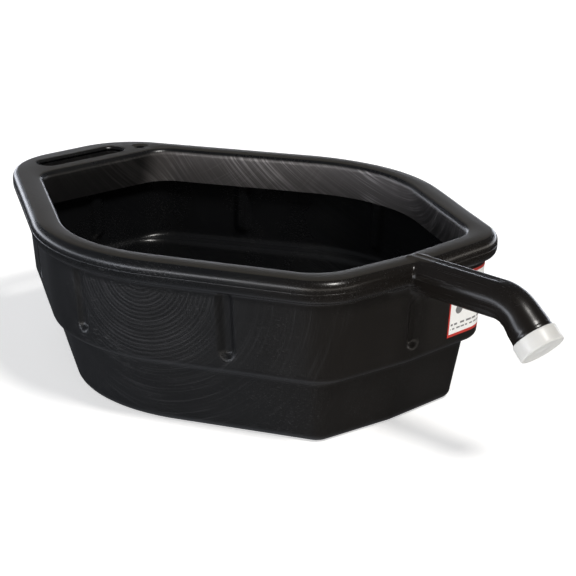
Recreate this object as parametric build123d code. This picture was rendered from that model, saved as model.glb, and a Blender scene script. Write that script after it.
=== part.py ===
from build123d import *

import math
import os
from typing import NamedTuple

# Oil drain pan, blow moulded in one hollow piece: basin, splash rim, finger slot and bent spout.
# The spout's neck carries a screw cap with a sealing liner, and one wall carries a label.
# Millimetres. +Z is up, +X runs from the handle end to the spout, and the origin is the
# centre of the flat underside, midway along the rim.

# Driving dimensions
RIM_LENGTH = 490.0
RIM_HEIGHT = 152.0
WALL = 2.4
HANDLE_END_HALF_WIDTH = 66.0
WIDEST_HALF_WIDTH = 213.0
WIDEST_X = 18.0
SPOUT_END_HALF_WIDTH = 103.0
TIP_POINT = 7.5

RIB_WIDTH = 17.0
RIB_DEPTH = 4.2
RIB_LOW_Z = 79.0
RIB_HIGH_Z = 125.0
TIP_RIB_HIGH_Z = 110.0

SLOT_CENTRE = (-210.0, -5.0)
HANG_HOLE_CENTRE = (-202.0, 62.0)
HANG_HOLE_RADIUS = 4.0

SPOUT_RADIUS = 16.0
SPOUT_BORE_RADIUS = 13.0
SPOUT_AXIS_Z = 138.5
SPOUT_ROOT_X = 222.0
SPOUT_PASSAGE_X = 233.0
SPOUT_JOIN_X = 258.0
SPOUT_BEND_X = 331.4
SPOUT_BEND_RADIUS = 34.0
SPOUT_BEND_ANGLE = 45.0
SPOUT_END_LENGTH = 15.3
COLLAR_RADIUS = 17.4
CHANNEL_RADIUS = 7.5
CHANNEL_DEPTH = 1.2
CHANNEL_END_X = 328.0

NECK_RADIUS = 16.2
NECK_LENGTH = 12.2
THREAD_PITCH = 4.23
THREAD_START = 3.2
NECK_THREAD_TURNS = 1.25
CAP_THREAD_TURNS = 1.0
THREAD_HEIGHT = 1.0
THREAD_ROOT_WIDTH = 2.3
THREAD_CREST_WIDTH = 1.0

CAP_RADIUS = 19.2
CAP_BORE_RADIUS = 17.75
CAP_START = 0.8
CAP_END = 14.6
CAP_TOP = 1.4
LINER_RADIUS = 16.9
LINER_THICKNESS = 0.85
SEAL_GAP = 0.05

LABEL_THICKNESS = 0.3
LABEL_LOW_Z = 69.0
LABEL_HIGH_Z = 126.0
LABEL_EDGE_Y = 44.5
LABEL_EDGE_X = 212.0


class Level(NamedTuple):
    """One rounded outline of the pan: how far it lies inside the rim, and its corner radii."""

    z: float
    inset: float
    handle_inset: float
    handle_radius: float
    middle_radius: float
    end_radius: float
    tip_radius: float


BASE = Level(0.0, 45.0, 71.5, 24.0, 146.0, 8.0, 5.0)
FOOT = Level(9.0, 36.6, 63.5, 32.0, 152.0, 14.0, 9.0)
SHELF_LOW = Level(51.5, 28.3, 54.5, 36.0, 150.0, 22.0, 11.0)
SHELF_MIDDLE = Level(58.5, 22.0, 52.0, 38.0, 155.0, 27.0, 12.0)
SHELF_HIGH = Level(65.5, 15.6, 49.5, 40.0, 160.0, 33.0, 13.0)
WALL_HIGH = Level(127.0, 9.8, 45.0, 45.0, 170.0, 40.0, 15.0)
BEAD_UNDER = Level(132.0, 4.5, 12.0, 62.0, 178.0, 44.0, 17.0)
BEAD_LOW = Level(140.0, 0.0, 0.0, 74.0, 183.0, 48.0, 20.0)
BEAD_HIGH = Level(144.0, 0.0, 0.0, 74.0, 183.0, 48.0, 20.0)
TOP_OUTER = Level(RIM_HEIGHT, 7.0, 7.0, 67.0, 176.0, 42.0, 16.0)

MOUTH_BOTTOM = Level(100.0, 20.3, 57.5, 34.0, 150.0, 44.0, 10.0)
SKIRT_EDGE = Level(118.2, 20.3, 57.5, 34.0, 150.0, 44.0, 10.0)
SKIRT_HIGH = Level(146.0, 25.5, 63.5, 28.0, 140.0, 40.0, 8.0)
TOP_INNER = Level(RIM_HEIGHT, 20.5, 58.5, 32.0, 145.0, 44.0, 10.0)


# ---------------------------------------------------------------- outlines and stacks


def plan_corners():
    """Sharp corners of the rim's outline, counter-clockwise from the handle end."""
    half = RIM_LENGTH / 2
    one_side = [
        Vector(-half, -HANDLE_END_HALF_WIDTH),
        Vector(WIDEST_X, -WIDEST_HALF_WIDTH),
        Vector(half, -SPOUT_END_HALF_WIDTH),
    ]
    tip = Vector(half + TIP_POINT, 0)
    other_side = [Vector(p.X, -p.Y) for p in reversed(one_side)]
    return one_side + [tip] + other_side


def corner_radii(level):
    near = [level.handle_radius, level.middle_radius, level.end_radius]
    return near + [level.tip_radius] + near[::-1]


def inward(start, end):
    """Unit normal of a side, pointing into the pan."""
    along = (end - start).normalized()
    return Vector(-along.Y, along.X)


def crossing(start_a, along_a, start_b, along_b):
    """Where two lines in plan cross."""
    across = along_a.X * along_b.Y - along_a.Y * along_b.X
    gap = start_b - start_a
    return start_a + along_a * ((gap.X * along_b.Y - gap.Y * along_b.X) / across)


def inset_corners(level):
    """Sharp corners of a level's outline: each side of the rim moved inwards."""
    corners = plan_corners()
    count = len(corners)
    sides = []
    for i in range(count):
        start, end = corners[i], corners[(i + 1) % count]
        inset = level.handle_inset if i == count - 1 else level.inset
        sides.append((start + inward(start, end) * inset, (end - start).normalized()))
    return [crossing(*sides[i - 1], *sides[i]) for i in range(count)]


def rounded_corner(before, corner, after, radius):
    """Start, middle and end of the arc that rounds a corner."""
    to_before = (before - corner).normalized()
    to_after = (after - corner).normalized()
    half_angle = math.acos(max(-1.0, min(1.0, to_before.dot(to_after)))) / 2
    reach = radius / math.tan(half_angle)
    bisector = (to_before + to_after).normalized()
    middle = corner + bisector * (radius / math.sin(half_angle) - radius)
    return corner + to_before * reach, middle, corner + to_after * reach


def corner_arcs(level):
    corners = inset_corners(level)
    radii = corner_radii(level)
    count = len(corners)
    return [
        rounded_corner(corners[i - 1], corners[i], corners[(i + 1) % count], radii[i])
        for i in range(count)
    ]


def outline(level):
    """The level's closed outline, straight sides and rounded corners, at its height."""
    arcs = [[Vector(p.X, p.Y, level.z) for p in arc] for arc in corner_arcs(level)]
    edges = []
    for i, (start, middle, end) in enumerate(arcs):
        edges.append(ThreePointArc(start, middle, end))
        edges.append(Line(end, arcs[(i + 1) % len(arcs)][0]))
    return Wire(edges)


def stack(levels):
    return Solid.make_loft([outline(level) for level in levels], ruled=True)


def blend(low, high, share):
    """A level between two others: share is how far each value but the height has moved."""
    return [a + (b - a) * share for a, b in zip(low, high)]


def curve(low, high, steps, upright_first):
    """Levels after low, up to high, on a quarter ellipse that starts upright or flat."""
    levels = []
    for step in range(1, steps + 1):
        angle = math.radians(90.0 * step / steps)
        rise, run = math.sin(angle), 1 - math.cos(angle)
        if not upright_first:
            rise, run = run, rise
        z = low.z + (high.z - low.z) * rise
        levels.append(Level(z, *blend(low, high, run)[1:]))
    return levels


def grown(level, distance, lift=0.0):
    """A level whose outline lies a distance outside, moved up by lift."""
    return Level(
        level.z + lift,
        level.inset - distance,
        level.handle_inset - distance,
        *[radius + distance for radius in level[3:]],
    )


# ---------------------------------------------------------------- pan body


def shell_levels(base, foot, shelf_low, shelf_middle, shelf_high, wall_high, under, low, high, top):
    """Profile from the underside to the top of the rim, with its rounded stretches."""
    levels = [base]
    levels += curve(base, foot, 4, False)
    levels += [shelf_low]
    levels += curve(shelf_low, shelf_middle, 2, True)
    levels += curve(shelf_middle, shelf_high, 2, False)
    levels += [wall_high]
    levels += curve(wall_high, under, 3, True)
    levels += curve(under, low, 3, False)
    levels += [high]
    levels += curve(high, top, 4, True)
    return levels


def outer_form():
    return stack(
        shell_levels(
            BASE,
            FOOT,
            SHELF_LOW,
            SHELF_MIDDLE,
            SHELF_HIGH,
            WALL_HIGH,
            BEAD_UNDER,
            BEAD_LOW,
            BEAD_HIGH,
            TOP_OUTER,
        )
    )


def cavity_form():
    """The inside of the hollow body, one wall in from the outer form."""
    return stack(
        shell_levels(
            grown(BASE, -0.8, WALL),
            grown(FOOT, -WALL, 1.0),
            grown(SHELF_LOW, -2.1, 1.2),
            grown(SHELF_MIDDLE, -1.7, 1.7),
            grown(SHELF_HIGH, -2.1, 1.2),
            grown(WALL_HIGH, -WALL, 1.0),
            grown(BEAD_UNDER, -1.0, WALL),
            grown(BEAD_LOW, -WALL),
            grown(BEAD_HIGH, -WALL, -0.6),
            grown(TOP_OUTER, -1.5, -WALL),
        )
    )


def mouth_form(thickness=0.0):
    """The open top inside the splash skirt, or the same with the skirt's thickness added."""
    top = grown(TOP_INNER, thickness, -thickness)
    high = grown(SKIRT_HIGH, thickness)
    edge = grown(SKIRT_EDGE, thickness)
    if thickness:
        return stack([edge, high] + curve(high, top, 4, True))
    above = Level(RIM_HEIGHT + 10.0, *TOP_INNER[1:])
    return stack([MOUTH_BOTTOM, edge, high] + curve(high, top, 4, True) + [above])


class Rib(NamedTuple):
    """A groove pressed into the upper wall: at a corner, or some way along a side."""

    corner: int
    along: float
    high_z: float


RIBS = [
    Rib(0, 125.0, RIB_HIGH_Z),
    Rib(1, 0.0, RIB_HIGH_Z),
    Rib(1, 158.0, RIB_HIGH_Z),
    Rib(3, 0.0, TIP_RIB_HIGH_Z),
    Rib(4, 94.0, RIB_HIGH_Z),
    Rib(5, 0.0, RIB_HIGH_Z),
    Rib(5, 161.0, RIB_HIGH_Z),
    Rib(6, HANDLE_END_HALF_WIDTH, RIB_HIGH_Z),
]


def wall_level(z):
    """The upper wall's outline at a height."""
    share = (z - SHELF_HIGH.z) / (WALL_HIGH.z - SHELF_HIGH.z)
    return Level(z, *blend(SHELF_HIGH, WALL_HIGH, share)[1:])


def rib_foot(rib, z):
    """Point on the upper wall where a rib's middle lies, and the direction out of the wall."""
    level = wall_level(z)
    corners = plan_corners()
    corner, after = corners[rib.corner], corners[(rib.corner + 1) % len(corners)]
    if rib.along:
        across = inward(corner, after)
        inset = level.handle_inset if rib.corner == len(corners) - 1 else level.inset
        point = corner + (after - corner).normalized() * rib.along + across * inset
        return Vector(point.X, point.Y, z), across * -1
    middle = corner_arcs(level)[rib.corner][1]
    across = (middle - inset_corners(level)[rib.corner]).normalized()
    return Vector(middle.X, middle.Y, z), across * -1


def capsule(start, end, radius):
    """A round bar with ball ends."""
    along = end - start
    bar = Solid.make_cylinder(radius, along.length, Plane(start, z_dir=along))
    balls = [Pos(*point) * Sphere(radius) for point in (start, end)]
    return bar + balls


def rib_bar(rib, thickness=0.0):
    """The bar that presses a rib's groove, or the same with the wall's thickness added."""
    half = RIB_WIDTH / 2
    radius = (half**2 + RIB_DEPTH**2) / (2 * RIB_DEPTH)
    ends = []
    for z in (RIB_LOW_Z, rib.high_z):
        point, outward = rib_foot(rib, z)
        ends.append(point + outward * (radius - RIB_DEPTH))
    return capsule(*ends, radius + thickness)


def slot_outline(z, width, length, shift):
    """Rounded outline of the finger slot, shifted away from the basin."""
    corner = min(width, length) / 2 - 1.0
    face = RectangleRounded(width, length, corner)
    return (Pos(SLOT_CENTRE[0] + shift, SLOT_CENTRE[1], z) * face).face().outer_wire()


def slot_form(thickness=0.0):
    """The finger slot through the handle flange, widening to a rounded upper edge."""
    grow = 2 * thickness
    drop = 1.5 * thickness
    levels = [
        slot_outline(120.0, 18.0 + grow, 90.0 + grow, -3.5),
        slot_outline(146.5 - drop, 21.5 + grow, 95.0 + grow, -0.8),
        slot_outline(149.5 - drop, 22.5 + grow, 96.0 + grow, -0.5),
        slot_outline(RIM_HEIGHT - 1.0 - drop, 24.5 + grow, 98.0 + grow, 0.0),
        slot_outline(RIM_HEIGHT - drop, 28.0 + grow, 101.5 + grow, 0.5),
    ]
    if not thickness:
        levels.append(slot_outline(RIM_HEIGHT + 1.0, 33.0, 106.5, 0.5))
    return Solid.make_loft(levels, ruled=True)


def bend_end():
    angle = math.radians(SPOUT_BEND_ANGLE)
    x = SPOUT_BEND_X + SPOUT_BEND_RADIUS * math.sin(angle)
    z = SPOUT_AXIS_Z - SPOUT_BEND_RADIUS * (1 - math.cos(angle))
    return Vector(x, 0, z)


def neck_direction():
    angle = math.radians(SPOUT_BEND_ANGLE)
    return Vector(math.cos(angle), 0, -math.sin(angle))


def neck_plane():
    """Plane across the end of the collar: its Z runs out along the neck."""
    origin = bend_end() + neck_direction() * SPOUT_END_LENGTH
    return Plane(origin, x_dir=(0, 1, 0), z_dir=neck_direction())


def spout_bend(radius):
    """The curved stretch of a tube of this radius."""
    ring = Pos(SPOUT_BEND_X, 0, SPOUT_AXIS_Z) * Rot(0, 90, 0) * Circle(radius)
    axis = Axis((SPOUT_BEND_X, 0, SPOUT_AXIS_Z - SPOUT_BEND_RADIUS), (0, 1, 0))
    return revolve(ring, axis, SPOUT_BEND_ANGLE)


def straight_tube(start_x, radius):
    start = Plane((start_x, 0, SPOUT_AXIS_Z), z_dir=(1, 0, 0))
    return Solid.make_cylinder(radius, SPOUT_BEND_X - start_x, start)


def neck_bar(radius, start, end):
    """A round bar on the neck's axis, between two distances from the collar's end."""
    plane = neck_plane()
    plane = Plane(plane.origin + plane.z_dir * start, x_dir=plane.x_dir, z_dir=plane.z_dir)
    return Solid.make_cylinder(radius, end - start, plane)


def collar():
    """The last straight stretch, widening a little towards the neck."""
    start = Plane(bend_end(), x_dir=(0, 1, 0), z_dir=neck_direction())
    return Solid.make_cone(SPOUT_RADIUS, COLLAR_RADIUS, SPOUT_END_LENGTH, start)


def spout_tube():
    tube = straight_tube(SPOUT_ROOT_X, SPOUT_RADIUS) + spout_bend(SPOUT_RADIUS) + collar()
    tube += neck_bar(NECK_RADIUS, 0.0, NECK_LENGTH)
    return tube + neck_thread()


def spout_passage():
    passage = straight_tube(SPOUT_PASSAGE_X, SPOUT_BORE_RADIUS) + spout_bend(SPOUT_BORE_RADIUS)
    return passage + neck_bar(SPOUT_BORE_RADIUS, -SPOUT_END_LENGTH, NECK_LENGTH + 1.0)


def drip_channel():
    """Shallow groove along the top of the spout, running out at the bend."""
    axis_z = SPOUT_AXIS_Z + SPOUT_RADIUS - CHANNEL_DEPTH + CHANNEL_RADIUS
    start = Vector(SPOUT_ROOT_X - 5.0, 0, axis_z)
    return capsule(start, Vector(CHANNEL_END_X, 0, axis_z + 0.3), CHANNEL_RADIUS)


def hang_hole():
    hole = Cylinder(HANG_HOLE_RADIUS, 2 * WALL + 2.0)
    return Pos(*HANG_HOLE_CENTRE, RIM_HEIGHT) * hole


def beyond_join():
    """The space that holds the spout's share of the moulding."""
    size = 2 * RIM_LENGTH
    return Pos(SPOUT_JOIN_X, 0, 0) * Box(size, size, size, align=(Align.MIN, Align.CENTER, Align.CENTER))


def pan_body():
    hollow = cavity_form() - mouth_form(WALL)
    solid = outer_form() + spout_tube()
    for rib in RIBS:
        hollow -= rib_bar(rib, WALL)
        solid -= rib_bar(rib)
    hollow -= slot_form(WALL)
    solid -= [slot_form(), hang_hole(), drip_channel()]
    return solid - hollow - mouth_form() - spout_passage() - beyond_join()


def spout():
    """The same moulding from the joining plane outwards, kept as a node of its own."""
    return (spout_tube() - drip_channel() - spout_passage()) & beyond_join()


# ---------------------------------------------------------------- neck thread, cap, liner, label


def thread(root_radius, crest_radius, turns):
    """One right-hand thread about Z, from its root cylinder to its crest."""
    helix = Helix(THREAD_PITCH, THREAD_PITCH * turns, root_radius)
    bite = 0.25 if crest_radius > root_radius else -0.25
    root, crest = THREAD_ROOT_WIDTH / 2, THREAD_CREST_WIDTH / 2
    height = crest_radius - root_radius
    profile = Polygon((-bite, -root), (height, -crest), (height, crest), (-bite, root), align=None)
    start = Plane(helix @ 0, x_dir=(1, 0, 0), z_dir=helix % 0)
    return sweep(start * profile, path=helix, is_frenet=True)


def on_neck(shape, start=0.0, turn=0.0):
    """A shape modelled about Z, placed on the neck's axis."""
    return neck_plane().location * Pos(0, 0, start) * Rot(0, 0, turn) * shape


def neck_thread():
    crest = NECK_RADIUS + THREAD_HEIGHT
    return on_neck(thread(NECK_RADIUS, crest, NECK_THREAD_TURNS), THREAD_START)


def cap_shell():
    """The cap's cup: a plain wall with softened edges and a flat end."""
    body = Pos(0, 0, CAP_START) * Cylinder(
        CAP_RADIUS, CAP_END - CAP_START, align=(Align.CENTER, Align.CENTER, Align.MIN)
    )
    rims = body.edges().filter_by(GeomType.CIRCLE).sort_by(Axis.Z)
    body = fillet(rims[-1], 1.1)
    body = chamfer(body.edges().filter_by(GeomType.CIRCLE).sort_by(Axis.Z)[0], 0.4)
    bore_length = CAP_END - CAP_TOP - CAP_START + 1.0
    bore = Cylinder(CAP_BORE_RADIUS, bore_length, align=(Align.CENTER, Align.CENTER, Align.MAX))
    return body - Pos(0, 0, CAP_END - CAP_TOP) * bore


def screw_cap():
    crest = CAP_BORE_RADIUS - THREAD_HEIGHT
    inner_thread = Pos(0, 0, THREAD_START) * thread(CAP_BORE_RADIUS, crest, CAP_THREAD_TURNS)
    return on_neck(cap_shell() + Rot(0, 0, 180) * inner_thread)


def cap_liner():
    bottom = CAP_END - CAP_TOP - SEAL_GAP - LINER_THICKNESS
    disc = Cylinder(LINER_RADIUS, LINER_THICKNESS, align=(Align.CENTER, Align.CENTER, Align.MIN))
    return on_neck(chamfer(disc.edges(), 0.15), bottom)


def label():
    """A sticker that follows the upper wall round the corner beside the spout."""
    ends = [wall_level(z) for z in (LABEL_LOW_Z, LABEL_HIGH_Z)]
    face_of_wall = stack(ends)
    face_of_label = stack([grown(level, LABEL_THICKNESS) for level in ends])
    reach = 100.0
    window = Pos(LABEL_EDGE_X, LABEL_EDGE_Y, 0) * Box(
        reach, reach, RIM_HEIGHT, align=(Align.MIN, Align.MIN, Align.MIN)
    )
    return (face_of_label - face_of_wall) & window


PARTS = {
    "pan_body": pan_body,
    "spout": spout,
    "screw_cap": screw_cap,
    "cap_liner": cap_liner,
    "label": label,
}

os.makedirs("parts", exist_ok=True)
for name, make in PARTS.items():
    shape = make()
    shape.label = name
    export_step(shape, os.path.join("parts", name + ".step"))
    print(name, "volume", round(shape.volume / 1000, 2), "cm3")
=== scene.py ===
"""Looks for the oil drain pan: black blow-moulded body, white screw cap with liner, label."""

import math

import bmesh
import bpy
import numpy as np
from mathutils import Matrix, Vector, noise

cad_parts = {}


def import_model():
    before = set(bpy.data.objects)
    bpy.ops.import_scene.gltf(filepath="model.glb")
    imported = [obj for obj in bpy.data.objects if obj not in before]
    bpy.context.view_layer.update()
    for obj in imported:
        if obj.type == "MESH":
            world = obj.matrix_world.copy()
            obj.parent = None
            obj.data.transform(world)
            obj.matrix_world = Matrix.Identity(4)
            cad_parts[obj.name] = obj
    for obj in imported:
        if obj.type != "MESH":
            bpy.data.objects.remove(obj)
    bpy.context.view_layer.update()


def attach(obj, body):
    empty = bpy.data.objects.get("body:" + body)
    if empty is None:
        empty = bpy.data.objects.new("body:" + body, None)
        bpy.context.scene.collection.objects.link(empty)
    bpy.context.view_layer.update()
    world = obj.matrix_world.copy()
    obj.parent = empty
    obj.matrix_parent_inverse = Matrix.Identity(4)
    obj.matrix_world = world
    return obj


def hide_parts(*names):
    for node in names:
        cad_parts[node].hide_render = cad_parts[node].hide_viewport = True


MM = 0.001

# The pan's plan and profile, in millimetres, as in the CAD source.
NEAR_CORNERS = [(-245.0, -66.0), (18.0, -213.0), (245.0, -103.0)]
TIP = (252.5, 0.0)
CORNERS = np.array(NEAR_CORNERS + [TIP] + [(x, -y) for x, y in NEAR_CORNERS[::-1]])
HANDLE_SIDE = 6
TIP_CORNER = 3
WALL = 2.4

# z, inset, handle inset, then the radii of the handle, middle, spout-end and tip corners
BASE = (0.0, 45.0, 71.5, 24.0, 146.0, 8.0, 5.0)
FOOT = (9.0, 36.6, 63.5, 32.0, 152.0, 14.0, 9.0)
SHELF_LOW = (51.5, 28.3, 54.5, 36.0, 150.0, 22.0, 11.0)
SHELF_MIDDLE = (58.5, 22.0, 52.0, 38.0, 155.0, 27.0, 12.0)
SHELF_HIGH = (65.5, 15.6, 49.5, 40.0, 160.0, 33.0, 13.0)
WALL_HIGH = (127.0, 9.8, 45.0, 45.0, 170.0, 40.0, 15.0)
BEAD_UNDER = (132.0, 4.5, 12.0, 62.0, 178.0, 44.0, 17.0)
BEAD_LOW = (140.0, 0.0, 0.0, 74.0, 183.0, 48.0, 20.0)
BEAD_HIGH = (144.0, 0.0, 0.0, 74.0, 183.0, 48.0, 20.0)
TOP_OUTER = (152.0, 7.0, 7.0, 67.0, 176.0, 42.0, 16.0)
SKIRT_EDGE = (118.2, 20.3, 57.5, 34.0, 150.0, 44.0, 10.0)
SKIRT_HIGH = (146.0, 25.5, 63.5, 28.0, 140.0, 40.0, 8.0)
TOP_INNER = (152.0, 20.5, 58.5, 32.0, 145.0, 44.0, 10.0)

# corner, distance along the side after it, and height of the upper end
RIBS = [
    (0, 125.0, 125.0),
    (1, 0.0, 125.0),
    (1, 158.0, 125.0),
    (3, 0.0, 110.0),
    (4, 94.0, 125.0),
    (5, 0.0, 125.0),
    (5, 161.0, 125.0),
    (6, 66.0, 125.0),
]
RIB_HALF_WIDTH = 8.5
RIB_DEPTH = 4.2
RIB_LOW_Z = 79.0

SPOUT_AXIS_Z = 138.5
SPOUT_START_X = 232.0
SPOUT_BEND_X = 331.4
SPOUT_BEND_RADIUS = 34.0
SPOUT_BEND_ANGLE = math.radians(45.0)
SPOUT_END_LENGTH = 15.3
SPOUT_RADIUS = 16.0
COLLAR_RADIUS = 17.4
BORE_RADIUS = 13.0
NECK_RADIUS = 16.2
NECK_LENGTH = 12.2
THREAD_PITCH = 4.23
THREAD_START = 3.2

SLOT_CENTRE = (-210.0, -5.0)
HANG_HOLE = (-202.0, 62.0)

LABEL_LOW_Z, LABEL_HIGH_Z = 69.0, 126.0
LABEL_EDGE_X, LABEL_EDGE_Y = 212.0, 44.5
LABEL_CORNER = 4

# Centres of the arcs that finishing left on the mould, in metres.
NEAR_SWIRL = (0.085, -0.166, 0.141)
FAR_SWIRL = (0.060, 0.180, 0.270)
END_SWIRL = (-0.260, 0.150, 0.300)

# The black plastic's marks, and the painted sheen on the rim's top and the inner skirt: mask, strength of the
# colour, the colour, and what it adds to the roughness.
COATS = [
    # top: painted sheen, the rim's flat top lighter and browner where it reflects the light
    ("top", 0.90, (0.0360, 0.0320, 0.0255, 1.0), 0.16),
    ("marks", 0.75, (0.040, 0.040, 0.044, 1.0), 0.10),
    ("brushed", 0.15, (0.030, 0.030, 0.031, 1.0), 0.0),
    ("scratches", 0.55, (0.036, 0.036, 0.036, 1.0), 0.12),
    ("worn", 0.05, (0.030, 0.029, 0.028, 1.0), 0.02),
    # skirt: the inner face of the splash skirt lighter, partly scuffing and partly a painted sheen
    ("skirt", 0.50, (0.018, 0.017, 0.017, 1.0), 0.12),
    # painted sheen: the far side's inner skirt, which faces the light, painted much lighter
    ("painted_far_skirt_sheen", 0.90, (0.165, 0.155, 0.154, 1.0), 0.0),
    # scuff streaks on the far inner skirt, painted bright as a sheen where they catch the light
    ("scuffs_and_sheen", 0.95, (0.420, 0.400, 0.400, 1.0), 0.20),
]

# The studio round the pan: brightness at heights from 0, straight below, to 1, straight above.
STUDIO_STOPS = [
    (0.09, 0.05),
    (0.19, 0.032),
    (0.28, 0.012),
    (0.460, 0.010),
    (0.470, 1.0),
    (0.540, 1.0),
    (0.560, 0.030),
    (1.0, 0.02),
]
STUDIO_BELOW = 0.15
STUDIO_STRENGTH = 3.6
WARM_SIDE = (0.62, 0.58, 0.53, 1.0)
COOL_SIDE = (0.96, 1.00, 1.10, 1.0)
PANEL_DIRECTION = (0.04, -0.999, 0.0)


# ---------------------------------------------------------------- meshes in general


def new_object(name, vertices, faces):
    """A mesh object from points in millimetres."""
    mesh = bpy.data.meshes.new(name)
    mesh.from_pydata((np.asarray(vertices, float) * MM).tolist(), [], faces)
    mesh.update()
    made = bpy.data.objects.new(name, mesh)
    bpy.context.scene.collection.objects.link(made)
    return made


def grid_faces(rows, columns, closed=False):
    """Quads between rows of points that run round, and between the last row and the first if closed."""
    faces = []
    for row in range(rows if closed else rows - 1):
        low = row * columns
        high = (row + 1) % rows * columns
        for column in range(columns):
            after = (column + 1) % columns
            faces.append((low + column, low + after, high + after, high + column))
    return faces


def capped_grid(name, rings):
    """A closed mesh over rings of points, with a fan at each end."""
    rows, columns = len(rings), len(rings[0])
    vertices = np.concatenate([np.concatenate(rings), [rings[0].mean(0)], [rings[-1].mean(0)]])
    faces = grid_faces(rows, columns)
    first, last, top = rows * columns, rows * columns + 1, (rows - 1) * columns
    for column in range(columns):
        after = (column + 1) % columns
        faces.append((first, after, column))
        faces.append((last, top + column, top + after))
    return new_object(name, vertices, faces)


def looped_grid(name, rings):
    """A closed mesh over rings of points, the last joined to the first."""
    return new_object(name, np.concatenate(rings), grid_faces(len(rings), len(rings[0]), closed=True))


def boolean(target, tool, operation):
    """Cuts or joins the tool into the target, and removes the tool."""
    modifier = target.modifiers.new("cut", "BOOLEAN")
    modifier.operation = operation
    modifier.solver = "MANIFOLD"
    modifier.object = tool
    evaluated = target.evaluated_get(bpy.context.evaluated_depsgraph_get())
    mesh = bpy.data.meshes.new_from_object(evaluated)
    target.modifiers.clear()
    old = target.data
    target.data = mesh
    bpy.data.meshes.remove(old)
    bpy.data.objects.remove(tool)


def points_of(mesh):
    points = np.zeros(len(mesh.vertices) * 3)
    mesh.vertices.foreach_get("co", points)
    return points.reshape(-1, 3)


def set_points(mesh, points):
    mesh.vertices.foreach_set("co", points.ravel())
    mesh.update()


def soften(target, low, high, reach, rounds):
    """Rounds the creases inside a box by smoothing the points near them."""
    mesh = target.data
    points = points_of(mesh)
    form = bmesh.new()
    form.from_mesh(mesh)
    inside = np.all((points > np.array(low) * MM) & (points < np.array(high) * MM), axis=1)
    creases = set()
    for edge in form.edges:
        ends = [v.index for v in edge.verts]
        if inside[ends].all() and edge.is_manifold and edge.calc_face_angle(0.0) > 0.35:
            creases.update(ends)
    form.free()
    crease_points = points[sorted(creases)]
    near = np.flatnonzero(inside)
    gaps = np.array([np.min(np.linalg.norm(crease_points - points[i], axis=1)) for i in near])
    weights = np.zeros(len(points))
    weights[near] = np.clip(1.0 - gaps / (reach * MM), 0.0, 1.0) ** 0.7
    edges = np.zeros(len(mesh.edges) * 2, int)
    mesh.edges.foreach_get("vertices", edges)
    a, b = edges.reshape(-1, 2).T
    count = np.bincount(a, minlength=len(points)) + np.bincount(b, minlength=len(points))
    for _ in range(rounds):
        total = np.zeros_like(points)
        np.add.at(total, a, points[b])
        np.add.at(total, b, points[a])
        points += (total / count[:, None] - points) * weights[:, None] * 0.6
    set_points(mesh, points)


def shade(target, sharp_degrees):
    target.data.shade_smooth()
    target.data.set_sharp_from_angle(angle=math.radians(sharp_degrees))


def spaced(length, base, bands, fine):
    """Positions from 0 up to but not at the length, closer together inside bands (middle, half width)."""
    s = np.linspace(0.0, length, 1200)
    density = np.full_like(s, 1.0 / base)
    for middle, half in bands:
        share = np.clip(1.5 - np.abs(s - middle) / (2.0 * half) * 2.0, 0.0, 1.0)
        density = np.maximum(density, 1.0 / base + (1.0 / fine - 1.0 / base) * share)
    total = np.concatenate([[0.0], np.cumsum((density[1:] + density[:-1]) / 2 * np.diff(s))])
    count = max(2, round(total[-1]))
    return np.interp(np.arange(count) / count * total[-1], total, s)


def smooth_step(value, low, high):
    t = np.clip((value - low) / (high - low), 0.0, 1.0)
    return t * t * (3.0 - 2.0 * t)


# ---------------------------------------------------------------- pan outlines


def mixed(low, high, share):
    return tuple(a + (b - a) * share for a, b in zip(low, high))


def curve(low, high, steps, upright_first):
    """Levels after low, up to high, on a quarter ellipse that starts upright or flat."""
    levels = []
    for step in range(1, steps + 1):
        angle = math.pi / 2 * step / steps
        rise, run = math.sin(angle), 1.0 - math.cos(angle)
        if not upright_first:
            rise, run = run, rise
        levels.append((low[0] + (high[0] - low[0]) * rise, *mixed(low, high, run)[1:]))
    return levels


def straight(low, high, steps):
    return [mixed(low, high, step / steps) for step in range(1, steps + 1)]


def grown(level, distance, lift=0.0):
    z, inset, handle_inset, *radii = level
    return (z + lift, inset - distance, handle_inset - distance, *[r + distance for r in radii])


def side_directions():
    along = np.roll(CORNERS, -1, axis=0) - CORNERS
    return along / np.linalg.norm(along, axis=1, keepdims=True)


def inward_of(along):
    return np.stack([-along[..., 1], along[..., 0]], axis=-1)


def corner_arcs(level):
    """Centre, radius, turn, and directions at the start of each rounded corner."""
    _, inset, handle_inset, handle, middle, end, tip = level
    along = side_directions()
    insets = np.full(len(CORNERS), inset)
    insets[HANDLE_SIDE] = handle_inset
    start = CORNERS + inward_of(along) * insets[:, None]
    before, direction = np.roll(start, 1, axis=0), np.roll(along, 1, axis=0)
    across = direction[:, 0] * along[:, 1] - direction[:, 1] * along[:, 0]
    gap = start - before
    reach = (gap[:, 0] * along[:, 1] - gap[:, 1] * along[:, 0]) / across
    corners = before + direction * reach[:, None]
    radii = np.array([handle, middle, end, tip, end, middle, handle])
    turns = np.arcsin(np.clip(across, -1.0, 1.0))
    ends = corners - direction * (radii * np.tan(turns / 2))[:, None]
    centres = ends + inward_of(direction) * radii[:, None]
    return centres, radii, turns, direction


def arc_points(centre, radius, direction, angles):
    out = -inward_of(direction)
    angles = np.asarray(angles)[:, None]
    return centre + radius * (np.cos(angles) * out + np.sin(angles) * direction)


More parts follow.
